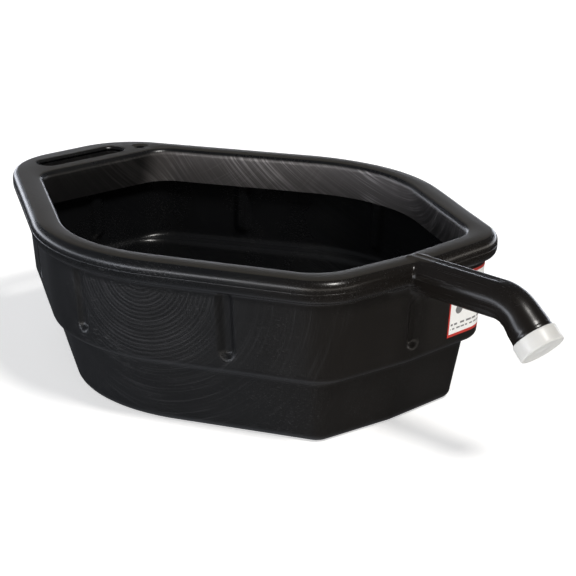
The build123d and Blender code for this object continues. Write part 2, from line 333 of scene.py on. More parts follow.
def column_shares():
    """For each corner, where columns lie along its arc and along the side after it, from 0 to 1."""
    centres, radii, turns, directions = corner_arcs(mixed(SHELF_HIGH, WALL_HIGH, 0.5))
    rim_radii = corner_arcs(BEAD_HIGH)[1]
    along = side_directions()
    shares = []
    for i, turn in enumerate(turns):
        arc_length = rim_radii[i] * turn
        arc_ribs = [(arc_length / 2, 13.0)] if (i, 0.0) in [(r[0], r[1]) for r in RIBS] else []
        start = arc_points(centres[i], radii[i], directions[i], [turn])[0]
        after = (i + 1) % len(turns)
        end = arc_points(centres[after], radii[after], directions[after], [0.0])[0]
        length = np.linalg.norm(end - start)
        places = [CORNERS[i] + along[i] * r[1] for r in RIBS if r[0] == i and r[1]]
        bands = [((place - start) @ along[i], 12.0) for place in places]
        if i == TIP_CORNER:
            bands.append((0.0, 24.0))
        if after == TIP_CORNER:
            bands.append((length, 24.0))
        arc = spaced(arc_length, 3.2, arc_ribs, 1.25) / arc_length
        side = spaced(length, 3.6, bands, 1.2) / length
        shares.append((arc, side))
    return shares


def ring(level, shares):
    """The level's outline as points, arcs and sides in turn."""
    centres, radii, turns, directions = corner_arcs(level)
    count = len(turns)
    pieces = []
    for i, (arc, side) in enumerate(shares):
        after = (i + 1) % count
        pieces.append(arc_points(centres[i], radii[i], directions[i], arc * turns[i]))
        start = arc_points(centres[i], radii[i], directions[i], [turns[i]])
        end = arc_points(centres[after], radii[after], directions[after], [0.0])
        pieces.append(start + (end - start) * side[:, None])
    flat = np.concatenate(pieces)
    return np.column_stack([flat, np.full(len(flat), level[0])])


def wall_levels():
    """The upper wall's levels, closer together round the ribs' lower ends."""
    steps = spaced(WALL_HIGH[0] - SHELF_HIGH[0], 3.6, [(RIB_LOW_Z - 5.0 - SHELF_HIGH[0], 7.0)], 1.5)
    heights = np.append(steps[1:], WALL_HIGH[0] - SHELF_HIGH[0])
    return [mixed(SHELF_HIGH, WALL_HIGH, h / (WALL_HIGH[0] - SHELF_HIGH[0])) for h in heights]


def outer_levels():
    levels = [BASE] + curve(BASE, FOOT, 7, False) + straight(FOOT, SHELF_LOW, 8)
    levels += curve(SHELF_LOW, SHELF_MIDDLE, 4, True) + curve(SHELF_MIDDLE, SHELF_HIGH, 5, False)
    levels += wall_levels() + curve(WALL_HIGH, BEAD_UNDER, 4, True)
    levels += curve(BEAD_UNDER, BEAD_LOW, 7, False) + parting_groove() + [BEAD_HIGH]
    return levels + curve(BEAD_HIGH, TOP_OUTER, 9, True)


def parting_groove():
    """The fine line round the bead where the mould's halves meet."""
    levels = []
    for z, depth in ((140.8, 0.0), (141.15, 0.08), (141.4, 0.28), (141.65, 0.08), (142.0, 0.0)):
        levels.append(grown((z, *BEAD_LOW[1:]), -depth))
    return levels


def skirt_levels():
    """From the top's outer edge over the crown and down the splash skirt to its trimmed edge."""
    levels = []
    for step in range(1, 7):
        level = mixed(TOP_OUTER, TOP_INNER, step / 6)
        crown = 0.35 * math.sin(math.pi * step / 6)
        levels.append((level[0] + crown, *level[1:]))
    levels += curve(SKIRT_HIGH, TOP_INNER, 8, True)[-2::-1]
    return levels + [SKIRT_HIGH] + straight(SKIRT_HIGH, SKIRT_EDGE, 8)


def behind_skirt_levels():
    """Up the back of the skirt and across under the hollow rim."""
    edge, high = grown(SKIRT_EDGE, WALL), grown(SKIRT_HIGH, WALL)
    return [edge] + straight(edge, high, 3) + curve(high, grown(TOP_INNER, WALL, -WALL), 3, True)


def inner_levels():
    """Inside of the outer wall, from the rim's hollow down to the floor."""
    top, high = grown(TOP_OUTER, -1.5, -WALL), grown(BEAD_HIGH, -WALL, -0.6)
    low, under = grown(BEAD_LOW, -WALL), grown(BEAD_UNDER, -1.0, WALL)
    wall_high = grown(WALL_HIGH, -WALL, 1.0)
    shelf_high, shelf_middle = grown(SHELF_HIGH, -2.1, 1.2), grown(SHELF_MIDDLE, -1.7, 1.7)
    shelf_low, foot, base = grown(SHELF_LOW, -2.1, 1.2), grown(FOOT, -WALL, 1.0), grown(BASE, -0.8, WALL)
    upward = [base] + curve(base, foot, 6, False) + straight(foot, shelf_low, 6)
    upward += curve(shelf_low, shelf_middle, 4, True) + curve(shelf_middle, shelf_high, 4, False)
    ribs_foot = mixed(shelf_high, wall_high, 0.42)
    upward += straight(shelf_high, ribs_foot, 12) + straight(ribs_foot, wall_high, 8)
    upward += curve(wall_high, under, 3, True) + curve(under, low, 3, False) + [high]
    upward += curve(high, top, 3, True)
    return upward[::-1]


# ---------------------------------------------------------------- pan body


def rib_frames():
    """Each rib's lower and upper ends on the wall and the direction out of the wall."""
    frames = []
    along = side_directions()
    for corner, distance, high_z in RIBS:
        ends = []
        for z in (RIB_LOW_Z, high_z):
            level = mixed(SHELF_HIGH, WALL_HIGH, (z - SHELF_HIGH[0]) / (WALL_HIGH[0] - SHELF_HIGH[0]))
            if distance:
                outward = -inward_of(along[corner])
                inset = level[2] if corner == HANDLE_SIDE else level[1]
                place = CORNERS[corner] + along[corner] * distance - outward * inset
            else:
                centres, radii, turns, directions = corner_arcs(level)
                half = [turns[corner] / 2]
                place = arc_points(centres[corner], radii[corner], directions[corner], half)[0]
                outward = (place - centres[corner]) / radii[corner]
            ends.append(np.array([*place, z]))
        frames.append((ends[0], ends[1], np.array([*outward, 0.0])))
    return frames


def rib_depth(share):
    """Depth of a rib at a share of its half width: a round bed and softly rounded lips."""
    return RIB_DEPTH * (1.0 - smooth_step(share, 0.28, 1.0))


def pressed(points, half_width):
    """Wall points moved inwards where the ribs are pressed."""
    moved = points.copy()
    for low, high, outward in rib_frames():
        line = high - low
        offset = points - low
        share = np.clip(offset @ line / (line @ line), 0.0, 1.0)
        gap = offset - share[:, None] * line
        gap -= (gap @ outward)[:, None] * outward
        distance = np.linalg.norm(gap, axis=1) / half_width
        near = np.abs((points - low) @ outward) < 40.0
        moved -= (rib_depth(distance) * near)[:, None] * outward
    return moved


def uneven(points, seed, size, amount):
    """Points moved by soft random waves, as thick and thin spots leave in a blown wall."""
    moved = points.copy()
    shift = Vector((seed, seed * 1.7, seed * 0.6))
    for i, p in enumerate(points):
        place = Vector(p) / size + shift
        moved[i] += amount * np.array([noise.noise(place), noise.noise(place + Vector((7, 0, 0))), 0.0])
    return moved


def flat_rings(outline, shares, lift):
    """Smaller copies of a flat outline, running in towards its middle."""
    middle = np.array([outline[:, 0].mean(), 0.0, outline[0, 2]])
    rings = []
    for share in shares:
        level = middle + (outline - middle) * share
        level[:, 2] += lift(share)
        rings.append(level)
    return rings


def body_shell():
    """The one closed skin of the moulding: outside, rim, splash skirt and inside."""
    shares = column_shares()
    under = flat_rings(ring(BASE, shares), (0.04, 0.3, 0.55, 0.8, 0.93, 0.96), lambda s: 0.9 * (s < 0.95))
    outside = [ring(level, shares) for level in outer_levels()]
    outside = [uneven(pressed(r, RIB_HALF_WIDTH), 1.0, 55.0, 0.35) if r[0, 2] > 1.0 else r for r in outside]
    top = [ring(level, shares) for level in skirt_levels()]
    top = [uneven(r, 3.0, 70.0, 0.45) if r[0, 2] < 146.0 else r for r in top]
    back = [ring(level, shares) for level in behind_skirt_levels()]
    inside = [ring(level, shares) for level in inner_levels()]
    inside = [uneven(pressed(r, RIB_HALF_WIDTH + 1.6), 1.0, 55.0, 0.35) for r in inside]
    floor = flat_rings(inside[-1], (0.96, 0.8, 0.55, 0.3, 0.04), lambda s: 0.5 * (1.0 - s))
    return capped_grid("pan_moulding", under + outside + top + back + inside + floor)


def slot_rings(levels):
    """Rounded rectangles for the finger slot from (z, width, length, shift)."""
    rings = []
    for z, width, length, shift in levels:
        radius = min(width, length) / 2 - 1.0
        half_x, half_y = width / 2 - radius, length / 2 - radius
        angles = np.radians(np.arange(0, 360, 6) + 3.0)
        x = SLOT_CENTRE[0] + shift + radius * np.cos(angles) + half_x * np.sign(np.cos(angles))
        y = SLOT_CENTRE[1] + radius * np.sin(angles) + half_y * np.sign(np.sin(angles))
        rings.append(np.column_stack([x, y, np.full(len(x), z)]))
    return rings


def slot_levels(grow, top):
    """The slot's levels with a soft flare to the upper edge, or with the moulded wall added."""
    drop = 0.75 * grow
    levels = [(112.0, 17.6, 89.6, -3.7), (134.0, 20.0, 92.5, -2.1), (145.0, 21.4, 94.8, -0.9)]
    for step in range(7):
        angle = math.pi / 2 * step / 6
        flare = 6.21 * (1.0 - math.cos(angle))
        levels.append((147.0 + (top - 147.0) * math.sin(angle), 21.7 + flare, 95.1 + flare, -0.5))
    return [(z - drop, w + grow, n + grow, s) for z, w, n, s in levels]


def finger_slot(body):
    """Gives the slot its own walls through the hollow flange, then opens it."""
    walls = capped_grid("slot_walls", slot_rings(slot_levels(2 * WALL, 151.5)))
    shares = column_shares()
    coarse = [(arc[::3], side[::3]) for arc, side in shares]
    rings = [ring(level, coarse) for level in outer_levels() if level[0] > 100.0]
    boolean(walls, capped_grid("outer_form", rings), "INTERSECT")
    boolean(body, walls, "UNION")
    opening = slot_levels(0.0, 152.05)
    opening.append((156.0, *[v + 1.0 for v in opening[-1][1:3]], -0.5))
    boolean(body, capped_grid("slot_opening", slot_rings(opening)), "DIFFERENCE")


def lathe(name, profile, segments=96, matrix=None):
    """A closed solid of revolution about Z, from profile points (radius, height)."""
    angles = np.linspace(0.0, 2 * math.pi, segments, endpoint=False)
    circle = np.column_stack([np.cos(angles), np.sin(angles), np.zeros(segments)])
    made = capped_grid(name, [circle * radius + (0.0, 0.0, height) for radius, height in profile])
    if matrix:
        made.data.transform(matrix)
    return made


def hang_hole(body):
    """A small round hole in a shallow dish beside the slot."""
    place = Matrix.Translation(Vector((*HANG_HOLE, 0.0)) * MM)
    hole = [(4.0, 147.0), (4.0, 150.4), (4.3, 151.0)]
    dish = [(5.6, 151.35), (7.6, 151.75), (8.8, 152.2), (9.2, 155.0)]
    boolean(body, lathe("hole_tool", hole + dish, 48, place), "DIFFERENCE")


# ---------------------------------------------------------------- spout


def spout_stations():
    """(point, direction, distance) along the spout's axis up to the collar's end."""
    stations = []
    for x in np.concatenate([np.linspace(SPOUT_START_X, 244.0, 9), np.linspace(247.0, SPOUT_BEND_X, 30)]):
        stations.append(((x, 0.0, SPOUT_AXIS_Z), 0.0, x - SPOUT_START_X))
    for step in range(1, 15):
        angle = SPOUT_BEND_ANGLE * step / 14
        x = SPOUT_BEND_X + SPOUT_BEND_RADIUS * math.sin(angle)
        z = SPOUT_AXIS_Z - SPOUT_BEND_RADIUS * (1.0 - math.cos(angle))
        distance = SPOUT_BEND_X - SPOUT_START_X + SPOUT_BEND_RADIUS * angle
        stations.append(((x, 0.0, z), angle, distance))
    (x, _, z), angle, distance = stations[-1]
    for step in (0.15, 0.3, 0.45, 0.6, 0.72, 0.8, 0.86, 0.9, 0.94, 0.97, 1.0):
        run = SPOUT_END_LENGTH * step
        place = (x + run * math.cos(angle), 0.0, z - run * math.sin(angle))
        stations.append((place, angle, distance + run))
    return stations


BEND_DISTANCE = SPOUT_BEND_X - SPOUT_START_X
COLLAR_DISTANCE = BEND_DISTANCE + SPOUT_BEND_RADIUS * SPOUT_BEND_ANGLE
SPOUT_DISTANCE = COLLAR_DISTANCE + SPOUT_END_LENGTH


def spout_angles():
    """Angles round the spout, closer together at the channel and the parting ridges."""
    length = 2 * math.pi * SPOUT_RADIUS
    marks = [90.0, 202.0, 221.0, 319.0, 338.0]
    return spaced(length, 1.5, [(length * m / 360.0, 2.6) for m in marks], 0.42) / SPOUT_RADIUS


def spout_radius(angles, distance):
    """Outer radius at each angle: round, with a drip channel on top and parting ridges below each side."""
    radius = SPOUT_RADIUS - 2.4 * math.exp(-((distance + 0.6) / 1.6))
    widening = smooth_step(distance, COLLAR_DISTANCE - 6.0, SPOUT_DISTANCE)
    radius = radius + (COLLAR_RADIUS - SPOUT_RADIUS) * widening
    groove = math.exp(-(((distance - SPOUT_DISTANCE + 3.0) / 0.55) ** 2))
    radius = radius - 0.3 * groove
    fade = 1.0 - smooth_step(distance, BEND_DISTANCE - 8.0, BEND_DISTANCE + 16.0)
    off_top = np.abs(angles - math.pi / 2) * SPOUT_RADIUS
    channel = 1.15 * (1.0 - smooth_step(off_top, 1.2, 5.6)) * fade
    ridges = 0.0
    for mark, height in ((202.0, 0.5), (221.0, 0.75), (338.0, 0.5), (319.0, 0.75)):
        wander = 0.5 * noise.noise(Vector((distance / 9.0, mark, 0.0)))
        strength = height * (0.75 + 0.6 * noise.noise(Vector((distance / 3.0, mark, 4.0))))
        gap = (angles - math.radians(mark)) * SPOUT_RADIUS - wander
        ridges = ridges + strength * np.exp(-((gap / 0.62) ** 2))
    return radius - channel + ridges


def across(place, tilt, radius, angles):
    """Points round an axis that dips by a tilt, at each angle from +Y round over the top."""
    up = np.array([math.sin(tilt), 0.0, math.cos(tilt)])
    side = np.array([0.0, 1.0, 0.0])
    radius = np.asarray(radius).reshape(-1, 1)
    return place + radius * (np.cos(angles)[:, None] * side + np.sin(angles)[:, None] * up)


def neck_profile():
    """Radii and distances past the collar, out over the neck and round its lip."""
    near_lip = NECK_LENGTH - 0.1
    profile = [(COLLAR_RADIUS - 0.25, 0.35), (NECK_RADIUS + 0.25, 0.5), (NECK_RADIUS, 0.8)]
    profile += [(NECK_RADIUS, 6.0), (NECK_RADIUS, NECK_LENGTH - 0.5), (NECK_RADIUS - 0.2, near_lip)]
    profile += [(NECK_RADIUS - 0.6, NECK_LENGTH), (BORE_RADIUS + 0.6, NECK_LENGTH)]
    return profile + [(BORE_RADIUS + 0.15, near_lip), (BORE_RADIUS, NECK_LENGTH - 0.6)]


def spout_pipe():
    """The spout as an open pipe with its collar, neck and lip."""
    angles = spout_angles()
    rings = []
    for place, tilt, distance in spout_stations():
        rings.append(across(np.array(place), tilt, spout_radius(angles, distance), angles))
    place, tilt, _ = spout_stations()[-1]
    direction = np.array([math.cos(tilt), 0.0, -math.sin(tilt)])
    for radius, run in neck_profile():
        rings.append(across(np.array(place) + direction * run, tilt, np.full(len(angles), radius), angles))
    for place, tilt, _ in spout_stations()[::-3]:
        rings.append(across(np.array(place), tilt, np.full(len(angles), BORE_RADIUS), angles))
    return looped_grid("spout_pipe", rings)


def neck_matrix():
    """From a frame whose Z runs out along the neck, starting at the collar's end, to the row frame."""
    place, tilt, _ = spout_stations()[-1]
    z = Vector((math.cos(tilt), 0.0, -math.sin(tilt)))
    x = Vector((0.0, 1.0, 0.0))
    turn = Matrix((x, z.cross(x), z)).transposed().to_4x4()
    return Matrix.Translation(Vector(place) * MM) @ turn


def thread_ridge(name, root, crest, turns, start_turn):
    """A right-hand thread ridge about Z whose ends taper away."""
    outward = 1.0 if crest > root else -1.0
    height = abs(crest - root)
    rings = []
    steps = int(72 * turns)
    for step in range(steps + 1):
        share = step / steps
        angle = 2 * math.pi * (turns * share + start_turn)
        z = THREAD_START + THREAD_PITCH * turns * share
        rise = height * min(1.0, share * turns * 9.0 + 0.05, (1.0 - share) * turns * 9.0 + 0.05)
        shape = [(-0.3, -1.15), (0.05, -1.1), (rise * 0.8, -0.62), (rise, -0.4)]
        shape += [(r, -dz) for r, dz in shape[::-1]]
        radii, heights = np.array(shape).T
        radii = root + outward * radii
        rings.append(np.column_stack([radii * math.cos(angle), radii * math.sin(angle), z + heights]))
    return capped_grid(name, rings)


def fix_normals(target):
    form = bmesh.new()
    form.from_mesh(target.data)
    bmesh.ops.recalc_face_normals(form, faces=form.faces[:])
    form.to_mesh(target.data)
    form.free()


def add_spout(body):
    """Joins the spout to the rim, opens its passage and melts the two together."""
    pipe = spout_pipe()
    fix_normals(pipe)
    thread = thread_ridge("neck_thread", NECK_RADIUS, NECK_RADIUS + 1.0, 1.25, 0.0)
    thread.data.transform(neck_matrix())
    fix_normals(thread)
    boolean(pipe, thread, "UNION")
    boolean(body, pipe, "UNION")
    turn = Matrix.Translation(Vector((0.0, 0.0, SPOUT_AXIS_Z)) * MM) @ Matrix.Rotation(math.pi / 2, 4, "Y")
    passage = lathe("passage", [(BORE_RADIUS, 236.0), (BORE_RADIUS, 262.0)], 64, turn)
    fix_normals(passage)
    boolean(body, passage, "DIFFERENCE")
    soften(body, (236.0, -34.0, 116.0), (266.0, 34.0, 153.5), 5.0, 14)
    roughen_root(body)


def roughen_root(body):
    """The lumpy flash where the rim's lower lip turns into the spout's parting ridges."""
    points = points_of(body.data) / MM
    for side in (-1.0, 1.0):
        spot = np.array([254.0, side * 17.5, 131.5])
        strength = np.exp(-((np.linalg.norm(points - spot, axis=1) / 8.0) ** 2))
        for i in np.flatnonzero(strength > 0.02):
            place = Vector(points[i])
            lump = noise.noise(place / 3.1) + 0.6 * noise.noise(place / 1.4)
            points[i, 1] += side * strength[i] * (0.9 + 1.1 * lump)
            points[i, 2] -= strength[i] * 0.5 * lump
    set_points(body.data, points * MM)


def pan_body():
    body = body_shell()
    fix_normals(body)
    finger_slot(body)
    hang_hole(body)
    add_spout(body)
    shade(body, 38.0)
    weighted = body.modifiers.new("even_shading", "WEIGHTED_NORMAL")
    weighted.keep_sharp = True
    weighted.weight = 50
    return body


# ---------------------------------------------------------------- cap, liner, label


def screw_cap():
    """A smooth moulded cap with a soft outer edge, a shallow end panel and a gate mark."""
    end = [(0.02, 14.25), (0.5, 14.22), (1.0, 14.5), (1.5, 14.33), (9.0, 14.33), (15.4, 14.33), (16.0, 14.5)]
    edge = [(16.4, 14.6), (17.6, 14.6), (18.3, 14.45), (18.85, 14.1), (19.12, 13.5), (19.2, 12.6)]
    side = [(19.2, 8.0), (19.2, 3.0), (19.17, 1.6), (19.05, 1.2)]
    mouth = [(18.75, 0.85), (18.4, 0.8), (17.95, 0.85), (17.8, 1.2)]
    inside = [(17.75, 1.8), (17.75, 6.0), (17.75, 12.6), (17.5, 13.05), (17.0, 13.2)]
    inside += [(8.0, 13.2), (0.02, 13.2)]
    cap = lathe("cap_moulding", end + edge + side + mouth + inside, 120)
    fix_normals(cap)
    thread = thread_ridge("cap_thread", 17.75, 16.75, 1.0, 0.5)
    fix_normals(thread)
    boolean(cap, thread, "UNION")
    cap.data.transform(neck_matrix())
    shade(cap, 50.0)
    return cap


def cap_liner():
    """The sealing disc, with soft edges and the ring that the neck's lip has pressed into it."""
    top, bottom = 13.14, 12.31
    profile = [(0.02, bottom), (8.0, bottom), (12.6, bottom), (13.1, bottom + 0.12), (15.8, bottom + 0.12)]
    profile += [(16.3, bottom), (16.75, bottom + 0.05), (16.9, bottom + 0.2), (16.9, top - 0.2)]
    profile += [(16.75, top - 0.05), (16.3, top), (8.0, top), (0.02, top)]
    liner = lathe("liner_disc", profile, 96, neck_matrix())
    fix_normals(liner)
    shade(liner, 50.0)
    return liner


def label_line(z, lift):
    """Points along the label at one height: the wall's outline round the corner beside the spout."""
    share = (z - SHELF_HIGH[0]) / (WALL_HIGH[0] - SHELF_HIGH[0])
    level = grown(mixed(SHELF_HIGH, WALL_HIGH, share), lift)
    centres, radii, turns, directions = corner_arcs(level)
    centre, radius, direction = centres[LABEL_CORNER], radii[LABEL_CORNER], directions[LABEL_CORNER]
    arc = arc_points(centre, radius, direction, np.linspace(0.0, turns[LABEL_CORNER], 25))
    after = side_directions()[LABEL_CORNER]
    first = arc[0] - direction * (arc[0][1] - LABEL_EDGE_Y) / direction[1]
    last = arc[-1] + after * (arc[-1][0] - LABEL_EDGE_X) / -after[0]
    lead = [first + (arc[0] - first) * t for t in np.linspace(0.0, 1.0, 14, endpoint=False)]
    tail = [arc[-1] + (last - arc[-1]) * t for t in np.linspace(0.0, 1.0, 8)[1:]]
    flat = np.array([*lead, *arc, *tail])
    return np.column_stack([flat, np.full(len(flat), z)])


def label_sheet():
    """The sticker, wrapped round the corner, with a map that measures it in millimetres."""
    heights = np.linspace(LABEL_LOW_Z + 0.1, LABEL_HIGH_Z - 0.1, 22)
    lines = []
    for z in heights:
        front = label_line(z, 0.29)
        lines.append(np.concatenate([front, label_line(z, 0.04)[::-1]]))
    label = capped_grid("label_sheet", lines)
    fix_normals(label)
    count = len(label_line(heights[0], 0.29))
    front = label_line(heights[0], 0.29)
    run = np.concatenate([[0.0], np.cumsum(np.linalg.norm(np.diff(front, axis=0), axis=1))])
    around = np.concatenate([run, run[::-1]])
    sheet = label.data.uv_layers.new(name="label_map")
    for loop in label.data.loops:
        index = loop.vertex_index
        if index >= len(lines) * 2 * count:
            continue
        row, column = divmod(index, 2 * count)
        sheet.data[loop.index].uv = (around[column] * MM, (heights[row] - heights[0]) * MM)
    shade(label, 60.0)
    return label, run[-1], heights[-1] - heights[0]


# ---------------------------------------------------------------- materials


class Recipe:
    """Short calls that build the nodes of a material or of the world."""

    def __init__(self, owner, shader="Principled BSDF"):
        owner.use_nodes = True
        self.owner = owner
        self.tree = owner.node_tree
        self.shader = self.tree.nodes[shader]

    def node(self, kind, settings=None, **inputs):
        made = self.tree.nodes.new("ShaderNode" + kind)
        for key, value in (settings or {}).items():
            setattr(made, key, value)
        for key, value in inputs.items():
            self.set(made, key, value)
        return made

    def set(self, node, key, value):
        key = int(key[1:]) if key[0] == "i" and key[1:].isdigit() else key.replace("_", " ")
        if isinstance(value, bpy.types.NodeSocket):
            self.tree.links.new(value, node.inputs[key])
        else:
            node.inputs[key].default_value = value

    def math(self, operation, a, b=0.0, clamp=False):
        return self.node("Math", {"operation": operation, "use_clamp": clamp}, i0=a, i1=b).outputs[0]

    def place(self, turn=(0, 0, 0), scale=(1, 1, 1), centre=(0, 0, 0)):
        """The row frame's coordinates, moved, turned and scaled."""
        where = self.node("TexCoord").outputs["Object"]
        moved = self.node("VectorMath", {"operation": "SUBTRACT"}, i0=where, i1=centre)
        return self.node("Mapping", Vector=moved.outputs[0], Rotation=turn, Scale=scale).outputs[0]

    def noise(self, vector, scale, detail=2.0, roughness=0.5):
        return self.node("TexNoise", Vector=vector, Scale=scale, Detail=detail, Roughness=roughness).outputs[0]

    def band(self, value, low, high, bottom=0.0, top=1.0):
        settings = {"interpolation_type": "SMOOTHSTEP", "clamp": True}
        made = self.node("MapRange", settings, Value=value)
        for key, number in (("From Min", low), ("From Max", high), ("To Min", bottom), ("To Max", top)):
            self.set(made, key, number)
        return made.outputs[0]

    def blend(self, factor, a, b):
        made = self.node("Mix", {"data_type": "RGBA"})
        for index, value in ((0, factor), (6, a), (7, b)):
            self.set(made, f"i{index}", value)
        return made.outputs[2]

    def bump(self, height, strength, distance, normal=None):
        made = self.node("Bump", Strength=strength, Distance=distance, Height=height)
        if normal:
            self.set(made, "Normal", normal)
        return made.outputs[0]


def total(recipe, *values):
    result = values[0]
    for value in values[1:]:
        result = recipe.math("ADD", result, value)
    return result


def product(recipe, *values):
    result = values[0]
    for value in values[1:]:
        result = recipe.math("MULTIPLY", result, value)
    return result


def axis_of(recipe, name):
    where = recipe.node("TexCoord").outputs["Object"]
    return recipe.node("SeparateXYZ", Vector=where).outputs[name]


def arcs(recipe, centre, spacing, reach, low=0.50, high=0.64):
    """Uneven fine arcs round a point, fading away at a distance: marks of the mould's hand finishing."""
    vector = recipe.place(centre=centre)
    radius = recipe.node("VectorMath", {"operation": "LENGTH"}, i0=vector).outputs["Value"]
    split = recipe.node("SeparateXYZ", Vector=vector)
    along = product(recipe, split.outputs["X"], 9.0)
    upward = product(recipe, split.outputs["Z"], 9.0)
    round_lines = recipe.node("CombineXYZ", X=recipe.math("DIVIDE", radius, spacing), Y=along, Z=upward)
    lines = recipe.band(recipe.noise(round_lines.outputs[0], 1.0, 2.0, 0.7), low, high)
    fade = recipe.band(radius, reach * 0.5, reach, 1.0, 0.0)
    patches = recipe.band(recipe.noise(vector, 16.0, 3.0), 0.36, 0.62, 0.15, 1.0)
    return product(recipe, lines, fade, patches)


def even_rings(recipe, centre, spacing, reach):
    """Evenly spaced rings round a point, where a cutter turned."""
    vector = recipe.place(centre=centre)
    settings = {"wave_type": "RINGS", "rings_direction": "SPHERICAL", "wave_profile": "SIN"}
    scale = 2 * math.pi / 20.0 / spacing
    wave = recipe.node("TexWave", settings, Vector=vector, Scale=scale, Distortion=0.9, Detail=2.0)
    radius = recipe.node("VectorMath", {"operation": "LENGTH"}, i0=vector).outputs["Value"]
    fade = recipe.band(radius, reach * 0.6, reach, 1.0, 0.0)
    patches = recipe.band(recipe.noise(vector, 22.0, 2.0), 0.35, 0.6, 0.3, 1.0)
    lines = recipe.band(wave.outputs["Fac"], 0.45, 0.95)
    return product(recipe, lines, fade, patches)


def streaks(recipe, turn, scale, low, high):
    """Fine straight scratches in one direction, in patches."""
    lines = recipe.noise(recipe.place(turn=turn, scale=scale), 1.0, 2.0, 0.6)
    patches = recipe.band(recipe.noise(recipe.place(), 14.0, 2.0), 0.42, 0.68)
    return product(recipe, recipe.band(lines, low, high), patches)


def facing_in_and_out(recipe):
    """Masks of the pan's surfaces that face its middle and that face away, without the spout."""
    place = recipe.node("TexCoord").outputs["Object"]
    normal = recipe.node("NewGeometry").outputs["Normal"]
    facing = recipe.node("VectorMath", {"operation": "DOT_PRODUCT"}, i0=place, i1=normal).outputs["Value"]
    pan = recipe.band(axis_of(recipe, "X"), 0.250, 0.266, 1.0, 0.0)
    inner = product(recipe, recipe.band(facing, -0.02, 0.0, 1.0, 0.0), pan)
    return inner, product(recipe, recipe.math("SUBTRACT", 1.0, inner), pan)


def painted_rim_top_sheen(recipe, height):
    """Mask of the rim's flat top, facing up, where a sheen is painted lighter and browner."""
    upright = recipe.node("SeparateXYZ", Vector=recipe.node("NewGeometry").outputs["Normal"]).outputs["Z"]
    pan = recipe.band(axis_of(recipe, "X"), 0.250, 0.266, 1.0, 0.0)
    return product(recipe, recipe.band(height, 0.1506, 0.1517), pan, recipe.band(upright, 0.86, 0.97))


def worn_edges(recipe, height):
    """Mask of flecks on the rim and round the foot."""
    edges = total(recipe, recipe.band(height, 0.136, 0.150), recipe.band(height, 0.0, 0.012, 1.0, 0.0))
    flecks = recipe.band(recipe.noise(recipe.place(), 260.0, 4.0), 0.5, 0.72)
    return product(recipe, edges, flecks)


def coat_masks(recipe, height, inner, near_wall):
    """Where each of the coats lies."""
    near_arcs = arcs(recipe, NEAR_SWIRL, 0.0019, 0.230, 0.50, 0.68)
    swirls = total(recipe, even_rings(recipe, NEAR_SWIRL, 0.0036, 0.105), near_arcs)
    far_arcs = arcs(recipe, FAR_SWIRL, 0.0019, 0.430, 0.44, 0.66)
    end_arcs = arcs(recipe, END_SWIRL, 0.0022, 0.330, 0.50, 0.68)
    brushed = product(recipe, total(recipe, far_arcs, product(recipe, end_arcs, 0.2)), inner)
    # The splash skirt's inner face is given a lighter colour: partly scuffing, partly painted sheen.
    skirt = product(recipe, inner, recipe.band(height, 0.116, 0.119))
    skirt = product(recipe, skirt, recipe.band(height, 0.1475, 0.1500, 1.0, 0.0))
    # Painted sheen: only the far side of the inner skirt, where the light falls, is painted light grey.
    painted_far_skirt_sheen = product(recipe, skirt, recipe.band(axis_of(recipe, "Y"), 0.045, 0.085))
    painted_far_skirt_sheen = product(recipe, painted_far_skirt_sheen, recipe.band(axis_of(recipe, "X"), 0.020, 0.130, 1.0, 0.12))
    diagonal = streaks(recipe, (0.0, 0.75, 0.55), (22.0, 900.0, 900.0), 0.60, 0.70)
    level = streaks(recipe, (0.0, 0.1, -0.45), (14.0, 700.0, 1100.0), 0.62, 0.72)
    return {
        "top": painted_rim_top_sheen(recipe, height),
        "marks": product(recipe, swirls, 0.4, near_wall),
        "brushed": brushed,
        "scratches": total(recipe, diagonal, level),
        "worn": worn_edges(recipe, height),
        "skirt": skirt,
        "painted_far_skirt_sheen": painted_far_skirt_sheen,
        # Scuff streaks on the skirt, mostly on the far side, painted bright as a sheen.
        "scuffs_and_sheen": product(recipe, brushed, total(recipe, painted_far_skirt_sheen, product(recipe, skirt, 0.10))),
    }


def moulded_surface(recipe, masks):
    """The soft orange peel and grain of a blown surface, with its marks and scratches."""
    peel = recipe.noise(recipe.place(), 230.0, 2.0, 0.5)
    grain = recipe.noise(recipe.place(), 1500.0, 3.0, 0.6)
    normal = recipe.bump(peel, 0.07, 0.0003)
    normal = recipe.bump(grain, 0.02, 0.00006, normal)
    normal = recipe.bump(total(recipe, masks["marks"], masks["brushed"]), 0.8, 0.00010, normal)
    return recipe.bump(product(recipe, masks["scratches"], -1.0), 0.6, 0.00006, normal)


